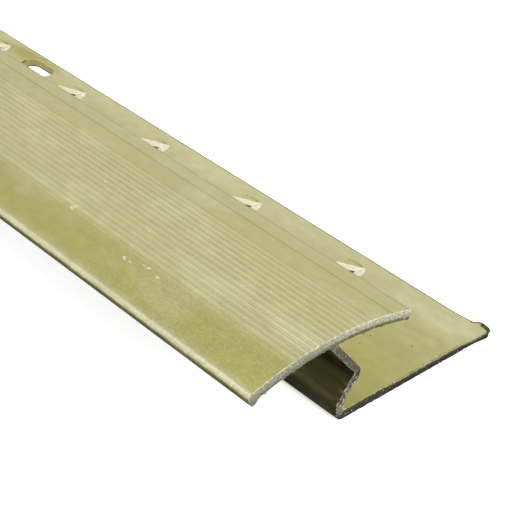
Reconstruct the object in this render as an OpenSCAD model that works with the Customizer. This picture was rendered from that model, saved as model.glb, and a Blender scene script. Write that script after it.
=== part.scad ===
// Two-level door bar: one aluminium extrusion with a fluted, arched cover,
// a kinked web and a flat base plate that has punched carpet teeth and fixing slots.
// X runs along the bar, Y across it and Z is up. The origin is under the middle of the bar.
// The section is drawn with y = 0 on the web side of the base plate.

/* [Bar] */
// Length of the bar, a whole number of slot spacings
bar_length = 900; // [450:225:1350]

/* [Cover] */
// Width of the arched cover, edge to edge
cover_w = 30; // [28:0.5:32]
// How far the cover reaches past the web side of the base plate
cover_reach = 16; // [15:0.5:16.5]
// Height of the crown of the cover above the floor
crown_h = 15.4; // [15:0.2:18]
// Radius of the arched top face
cover_r = 49; // [44:1:70]
// Wall of the cover
cover_t = 1.6; // [1.4:0.1:1.8]
// Radius of the shoulder where the cover turns down into its lip
shoulder_r = 1.2; // [1:0.1:1.4]
// How far the rounded lip hangs below the shoulder's centre
lip_drop = 1; // [0.9:0.05:1.6]

/* [Flutes] */
// Number of fine flutes along the middle of the cover
flute_count = 15; // [7:1:17]
// Spacing of the flutes along the arch
flute_pitch = 1.06; // [0.9:0.01:1.2]
// Width of one flute at the surface
flute_w = 0.62; // [0.4:0.02:0.7]
// Depth of one flute
flute_depth = 0.16; // [0.1:0.02:0.3]
// Place of the flutes' middle from the middle of the cover, toward its carpet edge
flute_offset = -0.1; // [-0.5:0.05:0.5]
// Distance from the middle of the cover to the single fine line near its carpet edge
line_offset = 11.4; // [10.5:0.1:12]

/* [Web] */
// Wall of the kinked web
web_t = 1.15; // [1:0.05:1.4]
// Distance from the web side of the base plate to the inside of the knee
knee_y = 3.3; // [2.8:0.1:3.8]
// Height of the inside of the knee
knee_z = 7.1; // [6.8:0.1:7.6]
// Slope of the lower leg, in degrees
lower_slope = 51; // [47:1:54]
// Slope of the upper leg, in degrees
upper_slope = 53.5; // [50:0.5:60]

/* [Base plate] */
// Width of the base plate
base_w = 30.3; // [30:0.1:31.5]
// Thickness of the base plate
base_t = 1.5; // [1.3:0.1:2]
// Rounding of the two outer corners, seen from above
corner_r = 0.6; // [0.3:0.1:1.5]
// Reach of the lump that the saw pushed out at one outer corner
ear_w = 0.7; // [0.4:0.1:1]
// Length of that lump along the bar
ear_l = 2.7; // [2:0.1:4]

/* [Teeth] */
// Spacing of the punched teeth
tooth_pitch = 25; // [25:25:75]
// Distance from the web side of the base plate to the roots of the teeth
tooth_root_y = 28; // [27.6:0.1:28.4]
// Length of a tooth, root to tip
tooth_l = 6.4; // [5:0.2:7]
// Width of a tooth at its root
tooth_w = 3.5; // [3:0.1:4]
// Lift of a tooth above the plate, in degrees
tooth_lift = 30; // [20:1:35]

/* [Fixing slots] */
// Spacing of the fixing slots
slot_pitch = 225; // [225]
// Distance from the web side of the base plate to the middle of the slots
slot_y = 26.7; // [26.5:0.1:26.9]
// Width of a slot
slot_w = 3.6; // [3:0.1:4]
// Length of a slot, end to end
slot_l = 7.8; // [6:0.2:9]

/* [Hidden] */

// Rounding of the plate's long free edge, of its heel under the web and of the inside corners
edge_r = 0.4;
heel_r = 1.2;
fillet_r = 0.5;
// Rounding of the cover's carpet edge
tip_r = 0.45;
// Width and depth of the single fine line
line_w = 0.4;
line_depth = 0.1;
// Thickness of a tooth, thinned by the punch, and width of its tip
tooth_t = 0.8;
tooth_tip_w = 0.4;
// How a tooth narrows toward its tip: 1 is straight, more is rounder
tooth_taper = 1.6;
// How far a tooth reaches into the plate behind its root
tooth_overlap = 0.5;
// Gap that the punch leaves between a tooth and its cut-out
tooth_gap = 0.2;
// Angle left free between a plain stretch of the arch and the corner or flute next to it
arch_gap = 1;
// Outline of the lump at the corner, in parts of its length and reach, from the sawn face inwards
ear_shape = [
    [0, -0.5], [0.05, 0.2], [0.13, 0.6], [0.26, 0.95], [0.37, 1], [0.6, 0.65], [0.82, 0.2], [1, 0]
];

// Centre of the arch, in the section's own (y, z) plane
arch_c = [cover_w / 2 - cover_reach, crown_h - cover_r];
under_r = cover_r - cover_t;
tip_angle = asin(cover_w / 2 / cover_r);
lip_r = cover_t / 2;
shoulder_c = [
    shoulder_r - cover_reach,
    arch_c[1] + sqrt(pow(cover_r - shoulder_r, 2) - pow(cover_w / 2 - shoulder_r, 2))
];
shoulder_angle = asin((cover_w / 2 - shoulder_r) / (cover_r - shoulder_r));
lip_c = [lip_r - cover_reach, shoulder_c[1] + lip_r - lip_drop];
knee = [knee_y, knee_z];
eps = 0.5;

// Points of an arc about c, from angle a to angle b, with n steps
function arc(c, r, a, b, n) =
    [for (i = [0:n]) let (t = a + (b - a) * i / n) c + r * [cos(t), sin(t)]];

// A point of the arch: r from its centre, a degrees from upright toward the carpet side
function on_arch(r, a) = arch_c + r * [sin(a), cos(a)];

// Angle along the top face that spans a length s of it
function span(s) = s / cover_r * 180 / PI;

// A smooth corner from a to b that bends toward the corner point c
function blend(a, c, b, n = 4) =
    [for (i = [0:n]) let (t = i / n) pow(1 - t, 2) * a + 2 * t * (1 - t) * c + t * t * b];

// Where a line from p in the direction u leaves the circle of radius r about the arch's centre
function meets_arch(p, u, r) =
    let (q = p - arch_c, h = q * u)
    p + u * (sqrt(h * h - q * q + r * r) - h);

// Angle of a point along the arch
function arch_angle(p) = atan2(p[0] - arch_c[0], p[1] - arch_c[1]);

// A shallow hollow of width w and depth d in the top face, centred on angle a
function flute(a, w, d, n = 6) =
    [for (i = [0:n]) let (t = 0.5 - i / n) on_arch(cover_r - d * pow(cos(180 * t), 2), a + span(w * t))];

// Plain stretch of an arch, from angle a to angle b in steps of about two degrees
function plain(r, a, b) =
    let (n = max(1, round(abs(b - a) / 2)))
    [for (i = [0:n]) on_arch(r, a + (b - a) * i / n)];

// The two legs of the web: unit vectors up each leg, and the offset of its carpet side
low_dir = [cos(lower_slope), sin(lower_slope)];
up_dir = [-cos(upper_slope), sin(upper_slope)];
low_side = web_t * [sin(lower_slope), -cos(lower_slope)];
up_side = web_t * [sin(upper_slope), cos(upper_slope)];
joint_left = meets_arch(knee, up_dir, under_r);
joint_right = meets_arch(knee + up_side, up_dir, under_r);

// Where the lower leg bends into the short upright heel
bend_left = [0, knee_z - knee_y * tan(lower_slope)];
bend_right = knee + low_side - low_dir * (knee_y + low_side[0] - web_t) / low_dir[0];

flute_middle = span(flute_offset);
first_flute = span(flute_pitch) * (flute_count - 1) / 2;
field_end = first_flute + span(flute_w / 2);

base_edge = concat(
    arc([heel_r, heel_r], heel_r, 180, 270, 4),
    arc([base_w - edge_r, edge_r], edge_r, 270, 360, 4),
    arc([base_w - edge_r, base_t - edge_r], edge_r, 0, 90, 4)
);

web_carpet_side = concat(
    blend([web_t + fillet_r, base_t], [web_t, base_t], [web_t, base_t + fillet_r]),
    [bend_right],
    arc(knee, web_t, lower_slope - 90, 90 - upper_slope, 6),
    blend(
        joint_right - up_dir * fillet_r,
        joint_right,
        on_arch(under_r, arch_angle(joint_right) + span(fillet_r))
    )
);

cover_underside_right = plain(
    under_r,
    arch_angle(joint_right) + span(fillet_r) + arch_gap,
    tip_angle - span(tip_r)
);

cover_tip = concat(
    blend(
        on_arch(under_r, tip_angle - span(tip_r)),
        on_arch(under_r, tip_angle),
        on_arch(under_r + tip_r, tip_angle)
    ),
    blend(
        on_arch(cover_r - tip_r, tip_angle),
        on_arch(cover_r, tip_angle),
        on_arch(cover_r, tip_angle - span(tip_r))
    )
);

cover_top = concat(
    plain(cover_r, tip_angle - span(tip_r) - arch_gap, span(line_offset + line_w)),
    flute(span(line_offset), line_w, line_depth, 2),
    plain(cover_r, span(line_offset - line_w), flute_middle + field_end + arch_gap / 2),
    [for (
        i = [0:flute_count - 1],
        p = flute(flute_middle + first_flute - i * span(flute_pitch), flute_w, flute_depth)
    ) p],
    plain(cover_r, flute_middle - field_end - arch_gap / 2, arch_gap - shoulder_angle)
);

cover_lip = concat(
    arc(shoulder_c, shoulder_r, 90 + shoulder_angle, 180, 6),
    arc(lip_c, lip_r, 180, 360, 10),
    [on_arch(under_r, arch_angle([lip_c[0] + lip_r, lip_c[1]]))]
);

cover_underside_left = concat(
    plain(
        under_r,
        1.5 * arch_gap - shoulder_angle,
        arch_angle(joint_left) - span(fillet_r) - arch_gap
    ),
    blend(
        on_arch(under_r, arch_angle(joint_left) - span(fillet_r)),
        joint_left,
        joint_left - up_dir * fillet_r
    )
);

web_floor_side = [knee, bend_left];

section = concat(
    base_edge, web_carpet_side, cover_underside_right, cover_tip,
    cover_top, cover_lip, cover_underside_left, web_floor_side
);

// The drawn section, run out along the bar and centred on x = 0
module extrusion() {
    translate([-bar_length / 2, 0, 0])
        rotate([90, 0, 90])
            linear_extrude(bar_length)
                polygon(section);
}

// What rounds one outer corner of the base plate, for the end at +x
module corner_cutter() {
    corner = [bar_length / 2, base_w];
    centre = corner - [corner_r, corner_r];
    translate([0, 0, -eps])
        linear_extrude(base_t + 2 * eps)
            polygon(concat(
                arc(centre, corner_r, 0, 90, 5),
                [[centre[0], corner[1] + eps], corner + [eps, eps], [corner[0] + eps, centre[1]]]
            ));
}

// The lump that the saw pushed out at the plate's outer corner, at the end at +x
module corner_ear() {
    lump = [for (p = ear_shape) [-ear_l * p[0], ear_w * p[1]]];
    root = [[-ear_l, -edge_r - eps], [0, -edge_r - eps]];
    translate([bar_length / 2, base_w, 0])
        linear_extrude(base_t)
            polygon(concat(lump, root));
}

// A round-ended slot through the base plate, long way along the bar
module fixing_slot() {
    reach = (slot_l - slot_w) / 2;
    translate([0, slot_y, -eps])
        union() {
            for (side = [-1, 1])
                translate([side * reach, 0, 0])
                    cylinder(h = base_t + 2 * eps, d = slot_w, $fn = 48);
            translate([-reach, -slot_w / 2, 0])
                cube([2 * reach, slot_w, base_t + 2 * eps]);
        }
}

// Half width of a tooth at a part f of its length from the root
function tooth_half(f) = tooth_tip_w / 2 + (tooth_w - tooth_tip_w) / 2 * (1 - pow(f, tooth_taper));

// One side of a flat tooth's outline, grown by g away from its root
function tooth_side(g, n = 6) =
    [for (i = [0:n]) let (f = i / n) [tooth_half(f) + g * min(1, 4 * f), -(tooth_l + g) * f]];

// The closed outline, from the near side of the root round the tip
function tooth_outline(g) =
    let (side = tooth_side(g))
    concat(side, [for (i = [len(side) - 1:-1:0]) [-side[i][0], side[i][1]]]);

// The cut-out that a tooth is lifted from
module tooth_hole() {
    translate([0, tooth_root_y, -eps])
        linear_extrude(base_t + 2 * eps)
            polygon(tooth_outline(tooth_gap));
}

// One tooth: a pointed tongue bent up about its root, leaning toward the web
module tooth() {
    heel = [[-tooth_w / 2, tooth_overlap], [tooth_w / 2, tooth_overlap]];
    translate([0, tooth_root_y, base_t])
        rotate([-tooth_lift, 0, 0])
            translate([0, 0, -tooth_t])
                linear_extrude(tooth_t)
                    polygon(concat(tooth_outline(0), heel));
}

// Puts the child at each tooth
module at_teeth() {
    for (x = [tooth_pitch:tooth_pitch:bar_length - tooth_pitch])
        translate([x - bar_length / 2, 0, 0])
            children();
}

// Puts the child at each fixing slot
module at_slots() {
    for (x = [slot_pitch / 2:slot_pitch:bar_length])
        translate([x - bar_length / 2, 0, 0])
            children();
}

module door_bar() {
    color([0.74, 0.71, 0.49])
        translate([0, (cover_reach - base_w - ear_w) / 2, 0])
            union() {
                difference() {
                    extrusion();
                    corner_cutter();
                    mirror([1, 0, 0]) corner_cutter();
                    at_slots() fixing_slot();
                    at_teeth() tooth_hole();
                }
                corner_ear();
                at_teeth() tooth();
            }
}

door_bar();
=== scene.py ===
"""Looks of a two-level door bar of satin gold anodised aluminium, sawn square at both ends.

The bar is one extrusion: a fluted, arched cover on a kinked web, and a base plate with punched
teeth and fixing slots. Sizes are in millimetres in the classes and in metres in Blender.
X runs along the bar, Y across it and Z is up, as in the part's own frame.
"""

import logging
import math
from collections.abc import Callable
from dataclasses import dataclass, field
from enum import Enum, IntEnum
from functools import reduce

import bpy
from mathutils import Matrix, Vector, noise
from mathutils.geometry import delaunay_2d_cdt


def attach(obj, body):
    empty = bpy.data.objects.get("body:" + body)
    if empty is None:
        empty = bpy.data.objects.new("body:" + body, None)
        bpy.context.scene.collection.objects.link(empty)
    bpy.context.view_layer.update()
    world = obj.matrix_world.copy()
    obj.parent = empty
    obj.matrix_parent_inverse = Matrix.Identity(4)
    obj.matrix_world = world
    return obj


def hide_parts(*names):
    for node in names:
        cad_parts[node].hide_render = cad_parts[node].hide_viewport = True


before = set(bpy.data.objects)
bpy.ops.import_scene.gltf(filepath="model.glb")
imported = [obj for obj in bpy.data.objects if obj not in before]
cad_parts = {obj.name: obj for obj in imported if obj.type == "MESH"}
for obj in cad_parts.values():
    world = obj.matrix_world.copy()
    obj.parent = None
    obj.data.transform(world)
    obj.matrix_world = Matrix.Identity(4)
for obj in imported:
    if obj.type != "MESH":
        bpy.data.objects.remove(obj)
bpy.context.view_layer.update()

log = logging.getLogger("door_bar")

MM = 0.001
# A length, in millimetres, beside which the bar's height is nothing
FAR = 1000.0
# Places for a corner in each millimetre; corners on the same place are joined
GRID = 2000
# A length, in millimetres, that counts as none
SLACK = 0.01
# Most of a noise lies between these two values.
SWING = (0.3, 0.7)
Point2 = tuple[float, float]
Point3 = tuple[float, float, float]
Line2 = list[Point2]
Line3 = list[Point3]
# Where a change starts and is complete, and what it starts from and becomes where that isn't 0 and 1
Span = tuple[float, ...]
Socket = bpy.types.NodeSocket
Value = Socket | float | tuple[float, ...]


class Finish(IntEnum):
    """The material slots of the bar's mesh."""

    GOLD = 0
    SHEARED = 1
    SAWN = 2
    # Painted shade: dark olive on edges and walls that lie in shade
    GRIMED = 3
    ROLLED = 4
    WALL = 5


class Cut(Enum):
    """What is punched in one stretch of the base plate."""

    PLAIN = "plain"
    TOOTH = "tooth"
    SLOT = "slot"


class Layer(IntEnum):
    """Planes of the noise that roughens the sawn ends. Coarse and fine tears use a plane and the next one."""

    LIP = 1
    BITE = 2
    EAR = 4
    LEG = 5
    BURR = 7
    CHIP = 9


class Shell:
    """Collects the faces of a mesh, in millimetres, and joins corners that fall together."""

    def __init__(self) -> None:
        """Starts with no faces."""
        self.places: Line3 = []
        self.known: dict[tuple[int, int, int], int] = {}
        self.faces: list[list[int]] = []
        self.finishes: list[int] = []

    def corner(self, point: Point3) -> int:
        """Finds or adds a corner.

        Args:
            point: the corner's place, in millimetres.

        Returns:
            The corner's number.
        """
        key = tuple(round(value * GRID) for value in point)
        if key not in self.known:
            self.known[key] = len(self.places)
            self.places.append(point)
        return self.known[key]

    def face(self, points: Line3, finish: Finish, turned: bool = False) -> None:
        """Adds a face, unless its corners fall on one line or point.

        Args:
            points: its corners, in order round the outward normal.
            finish: the material slot it takes.
            turned: whether the corners are given the other way round.
        """
        ring: list[int] = []
        for point in reversed(points) if turned else points:
            number = self.corner(point)
            if number not in ring:
                ring.append(number)
        if len(ring) > 2:
            self.faces.append(ring)
            self.finishes.append(int(finish))

    def mesh(self, name: str) -> bpy.types.Mesh:
        """Makes the Blender mesh.

        Args:
            name: the mesh's name.

        Returns:
            The mesh, in metres, with a "finish" number on each face.
        """
        made = bpy.data.meshes.new(name)
        made.from_pydata([[v * MM for v in p] for p in self.places], [], self.faces)
        attribute = made.attributes.new("finish", "INT", "FACE")
        attribute.data.foreach_set("value", self.finishes)
        made.validate()
        return made


def arc(centre: Point2, radius: float, start: float, stop: float, steps: int) -> Line2:
    """Points of an arc from one angle to another, in degrees."""
    angles = [math.radians(start + (stop - start) * i / steps) for i in range(steps + 1)]
    return [(centre[0] + radius * math.cos(a), centre[1] + radius * math.sin(a)) for a in angles]


def bent(a: Point2, corner: Point2, b: Point2, steps: int = 5) -> Line2:
    """A smooth bend from a to b that is drawn toward a corner.

    Args:
        a: where it starts.
        corner: the corner that it rounds.
        b: where it stops.
        steps: how many steps it is drawn with.

    Returns:
        The points, from a to b.
    """
    found = []
    for i in range(steps + 1):
        t = i / steps
        weighted = (((1 - t) ** 2, a), (2 * t * (1 - t), corner), (t * t, b))
        found.append(tuple(sum(w * p[k] for w, p in weighted) for k in (0, 1)))
    return found


def smooth(edge_0: float, edge_1: float, value: float) -> float:
    """A smooth step.

    Args:
        edge_0: where it is 0.
        edge_1: where it is 1.
        value: where it is read.

    Returns:
        The step's height there, from 0 to 1.
    """
    t = min(1.0, max(0.0, (value - edge_0) / (edge_1 - edge_0)))
    return t * t * (3 - 2 * t)


def read_off(curve: Line2, at: float) -> float:
    """Reads a curve of straight stretches.

    Args:
        curve: its points, by rising first value.
        at: the first value to read it at.

    Returns:
        The second value there.
    """
    for (x0, y0), (x1, y1) in zip(curve, curve[1:]):
        if at <= x1:
            return y0 + (y1 - y0) * max(0.0, at - x0) / (x1 - x0)
    return curve[-1][1]


def inside(point: Point2, ring: Line2) -> bool:
    """Says if a point is inside a closed ring.

    Args:
        point: the point.
        ring: the corners of the ring.

    Returns:
        True if it is inside.
    """
    found = False
    for (x0, y0), (x1, y1) in zip(ring, ring[1:] + ring[:1]):
        crosses = (y0 > point[1]) != (y1 > point[1])
        if crosses and point[0] < x0 + (point[1] - y0) * (x1 - x0) / (y1 - y0):
            found = not found
    return found


def filled(ring: Line2, hole: Line2, inner: Line2) -> tuple[Line2, list[list[int]]]:
    """Fills a flat ring with triangles.

    Args:
        ring: the outer corners, against the clock.
        hole: the corners of a hole in it, or none.
        inner: more points to use between them.

    Returns:
        The points, and the corners of each triangle, against the clock.
    """
    points = [Vector(p) for p in ring + hole + inner]
    loops = [list(range(len(ring)))]
    if hole:
        loops.append(list(range(len(ring), len(ring) + len(hole))))
    edges = [(loop[i], loop[(i + 1) % len(loop)]) for loop in loops for i in range(len(loop))]
    places, _, faces, *_ = delaunay_2d_cdt(points, edges, [], 0, 1e-7)
    flat = [(p.x, p.y) for p in places]
    kept = []
    for face in faces:
        middle = tuple(sum(flat[i][k] for i in face) / len(face) for k in (0, 1))
        if inside(middle, ring) and not (hole and inside(middle, hole)):
            (ax, ay), (bx, by), (cx, cy) = (flat[i] for i in face[:3])
            turn = (bx - ax) * (cy - ay) - (by - ay) * (cx - ax)
            kept.append(list(face) if turn > 0 else list(face)[::-1])
    return flat, kept


@dataclass(frozen=True)
class BarSection:
    """The drawn section, with y = 0 on the web side of the base plate before it is shifted."""

    cover_w: float = 30.0
    cover_reach: float = 16.0
    crown_h: float = 15.4
    cover_r: float = 49.0
    cover_t: float = 1.6
    shoulder_r: float = 1.2
    lip_drop: float = 1.0
    flute_count: int = 15
    flute_pitch: float = 1.06
    flute_offset: float = -0.1
    flute_w: float = 0.62
    flute_depth: float = 0.16
    line_offset: float = 11.4
    line_w: float = 0.4
    line_depth: float = 0.1
    web_t: float = 1.15
    knee_y: float = 3.3
    knee_z: float = 7.1
    lower_slope: float = 51.0
    upper_slope: float = 53.5
    base_w: float = 30.3
    base_t: float = 1.5
    edge_r: float = 0.4
    heel_r: float = 1.2
    fillet_r: float = 0.5
    tip_r: float = 0.45
    # How deep the outermost flute of each side is left, as a share, and what each further one adds
    worn_carpet: Point2 = (0.55, 0.12)
    worn_floor: Point2 = (0.3, 0.25)
    knee_bend: float = 0.25
    foot_bend: float = 0.3
    shift: float = -7.5
    punch_from: float = 20.5
    punch_to: float = 29.3

    @property
    def arch_c(self) -> Point2:
        """Centre of the arched top face."""
        return (self.cover_w / 2 - self.cover_reach, self.crown_h - self.cover_r)

    def span(self, length: float) -> float:
        """Angle along the top face, in degrees, that spans a length of it."""
        return math.degrees(length / self.cover_r)

    def on_arch(self, radius: float, angle: float) -> Point2:
        """Point of the arch at a radius, and an angle from upright toward the carpet side."""
        t = math.radians(angle)
        return (self.arch_c[0] + radius * math.sin(t), self.arch_c[1] + radius * math.cos(t))

    def plain(self, radius: float, start: float, stop: float) -> Line2:
        """Plain stretch of an arch, in steps of about a degree."""
        steps = max(1, round(abs(stop - start)))
        return [self.on_arch(radius, start + (stop - start) * i / steps) for i in range(steps + 1)]

    def hollow(self, angle: float, width: float, depth: float, steps: int) -> Line2:
        """One shallow hollow across the top face.

        Args:
            angle: where its middle is, in degrees from upright.
            width: its width at the surface.
            depth: its depth.
            steps: how many steps it is drawn with.

        Returns:
            The points, from the carpet side to the lip side.
        """
        found = []
        for i in range(steps + 1):
            t = 0.5 - i / steps
            dip = depth * math.cos(math.pi * t) ** 2
            found.append(self.on_arch(self.cover_r - dip, angle + self.span(width * t)))
        return found

    def meets_arch(self, point: Point2, way: Point2, radius: float) -> Point2:
        """Where a line from a point meets a circle about the arch's centre.

        Args:
            point: where the line starts.
            way: its direction, one unit long.
            radius: the circle's radius.

        Returns:
            The first meeting point along the line.
        """
        q = (point[0] - self.arch_c[0], point[1] - self.arch_c[1])
        h = q[0] * way[0] + q[1] * way[1]
        reach = math.sqrt(h * h - q[0] ** 2 - q[1] ** 2 + radius**2) - h
        return (point[0] + way[0] * reach, point[1] + way[1] * reach)

    def arch_angle(self, point: Point2) -> float:
        """Angle of a point along the arch, in degrees."""
        return math.degrees(math.atan2(point[0] - self.arch_c[0], point[1] - self.arch_c[1]))

    def base_plate(self) -> Line2:
        """Heel, underside, free edge and top of the base plate."""
        e = self.edge_r
        return [
            *arc((self.heel_r, self.heel_r), self.heel_r, 180, 270, 5),
            (self.punch_from, 0.0),
            (self.punch_to, 0.0),
            *arc((self.base_w - e, e), e, 270, 360, 4),
            *arc((self.base_w - e, self.base_t - e), e, 0, 90, 4),
            (self.punch_to, self.base_t),
            (self.punch_from, self.base_t),
        ]

    def web_legs(self) -> tuple[Line2, Line2]:
        """The two sides of the kinked web.

        Returns:
            The carpet side going up, and the floor side going down, each with its fillet under the cover.
        """
        low, up = math.radians(self.lower_slope), math.radians(self.upper_slope)
        low_way, up_way = (math.cos(low), math.sin(low)), (-math.cos(up), math.sin(up))
        t, f, under = self.web_t, self.fillet_r, self.cover_r - self.cover_t
        knee = (self.knee_y, self.knee_z)
        low_side = (t * math.sin(low), -t * math.cos(low))
        up_side = (knee[0] + t * math.sin(up), knee[1] + t * math.cos(up))
        left, right = self.meets_arch(knee, up_way, under), self.meets_arch(up_side, up_way, under)
        right_under = self.on_arch(under, self.arch_angle(right) + self.span(f))
        left_under = self.on_arch(under, self.arch_angle(left) - self.span(f))
        knee_bend, foot_bend, step = self.knee_bend, self.foot_bend, self.stepped
        back = (knee[0] + low_side[0] - t) / low_way[0]
        foot_right = (t, knee[1] + low_side[1] - low_way[1] * back)
        foot_left = (0.0, knee[1] - knee[0] * math.tan(low))
        going_up = [
            *bent((t + f, self.base_t), (t, self.base_t), (t, self.base_t + f)),
            *bent((t, foot_right[1] - knee_bend), foot_right, step(foot_right, low_way, knee_bend), 3),
            *arc(knee, t, self.lower_slope - 90, 90 - self.upper_slope, 9),
            *bent(step(right, up_way, -f), right, right_under),
        ]
        going_down = [
            *bent(left_under, left, step(left, up_way, -f)),
            *bent(step(knee, up_way, knee_bend), knee, step(knee, low_way, -knee_bend), 3),
            *bent(step(foot_left, low_way, foot_bend), foot_left, (0.0, foot_left[1] - foot_bend), 3),
        ]
        return going_up, going_down

    @staticmethod
    def stepped(point: Point2, way: Point2, length: float) -> Point2:
        """The point that lies a length along a direction."""
        return (point[0] + way[0] * length, point[1] + way[1] * length)

    def cover(self, right: float, left: float) -> Line2:
        """Underside, carpet edge, fluted top and lip of the cover.

        Args:
            right: angle where the underside leaves the web on its carpet side.
            left: angle where it meets the web on its floor side.

        Returns:
            The points, against the clock.
        """
        r, under, tip, at = self.cover_r, self.cover_r - self.cover_t, self.span(self.tip_r), self.on_arch
        end = math.degrees(math.asin(self.cover_w / 2 / r))
        first = self.span(self.flute_pitch) * (self.flute_count - 1) / 2
        offset = self.span(self.flute_offset)
        field_end = first + self.span(self.flute_w / 2)
        shoulder_y = self.shoulder_r - self.cover_reach
        reach = self.cover_w / 2 - self.shoulder_r
        shoulder_z = self.arch_c[1] + math.sqrt((r - self.shoulder_r) ** 2 - reach**2)
        turn = math.degrees(math.asin(reach / (r - self.shoulder_r)))
        lip = (self.cover_t / 2 - self.cover_reach, shoulder_z + self.cover_t / 2 - self.lip_drop)
        points = self.plain(under, right + 1, end - tip - 0.5)
        points += bent(at(under, end - tip), at(under, end), at(under + self.tip_r, end))
        points += bent(at(r - self.tip_r, end), at(r, end), at(r, end - tip))
        points += self.plain(r, end - tip - 0.5, self.span(self.line_offset + self.line_w))
        points += self.hollow(self.span(self.line_offset), self.line_w, self.line_depth, 6)
        points += self.plain(r, self.span(self.line_offset - self.line_w), field_end + offset + 0.3)
        for i in range(self.flute_count):
            # The outer flutes are rubbed shallow, most of all where feet meet the cover first.
            sides = ((self.worn_carpet, i), (self.worn_floor, self.flute_count - 1 - i))
            deep = self.flute_depth * min(1.0, *(left + more * count for (left, more), count in sides))
            points += self.hollow(first - i * self.span(self.flute_pitch) + offset, self.flute_w, deep, 8)
        points += self.plain(r, offset - field_end - 0.3, 0.7 - turn)
        points += arc((shoulder_y, shoulder_z), self.shoulder_r, 90 + turn, 180, 9)
        points += arc(lip, self.cover_t / 2, 180, 360, 14)
        points += [at(under, self.arch_angle((lip[0] + self.cover_t / 2, lip[1])))]
        points += self.plain(under, 1.5 - turn, left - 1)
        return points

    def outline(self) -> Line2:
        """The whole section.

        Returns:
            The closed outline, against the clock seen from +X, shifted to the part's own frame.
        """
        going_up, going_down = self.web_legs()
        cover = self.cover(self.arch_angle(going_up[-1]), self.arch_angle(going_down[0]))
        points = [(y + self.shift, z) for y, z in [*self.base_plate(), *going_up, *cover, *going_down]]
        return [p for p, before in zip(points, points[-1:] + points[:-1]) if math.dist(p, before) > SLACK]

    def on_free_edge(self, here: Point2, there: Point2) -> bool:
        """True for the rounded upper arris of the plate's free edge."""
        (low_y, _), (low_z, high_z) = sorted((here[0], there[0])), sorted((here[1], there[1]))
        outside = low_y > self.base_w - self.edge_r + self.shift - SLACK
        return outside and low_z > self.base_t - self.edge_r - SLACK and high_z < self.knee_z / 2

    def punched(self, here: Point2, there: Point2) -> bool:
        """True for the two stretches of the outline that teeth and slots are punched through."""
        flat = abs(here[1] - there[1]) < 1e-9
        return flat and {round(here[0], 6), round(there[0], 6)} == {
            round(self.punch_from + self.shift, 6), round(self.punch_to + self.shift, 6)
        }


@dataclass(frozen=True)
class Punching:
    """A punched place in the base plate, on a stretch of bar that is centred on it."""

    section: BarSection
    stretch: float = 12.5

    def plate(self, shell: Shell, top: Line2, bottom: Line2) -> None:
        """Adds the plate's top and underside round a hole.

        Args:
            shell: takes the faces.
            top: the hole in the top face, as (x, y) against the clock.
            bottom: the hole in the underside.
        """
        s, half = self.section, self.stretch / 2
        low, high = s.punch_from + s.shift, s.punch_to + s.shift
        ring = [(-half, low), (half, low), (half, high), (-half, high)]
        for hole, height, turned in ((top, s.base_t, False), (bottom, 0.0, True)):
            places, faces = filled(ring, hole, [])
            for face in faces:
                shell.face([(*places[i], height) for i in face], Finish.GOLD, turned)

    @staticmethod
    def walls(shell: Shell, rings: list[Line3], finish: Callable[[Point3], Finish], closed: bool) -> None:
        """Adds the walls between rings that go down into the plate.

        Args:
            shell: takes the faces.
            rings: the rings from the top down, each against the clock.
            finish: says which material slot a wall takes by the middle of its face.
            closed: whether the last point joins the first.
        """
        for upper, lower in zip(rings, rings[1:]):
            count = len(upper)
            for i in range(count if closed else count - 1):
                j = (i + 1) % count
                quad = [upper[j], upper[i], lower[i], lower[j]]
                shell.face(quad, finish(tuple(sum(p[k] for p in quad) / 4 for k in range(3))))


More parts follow.
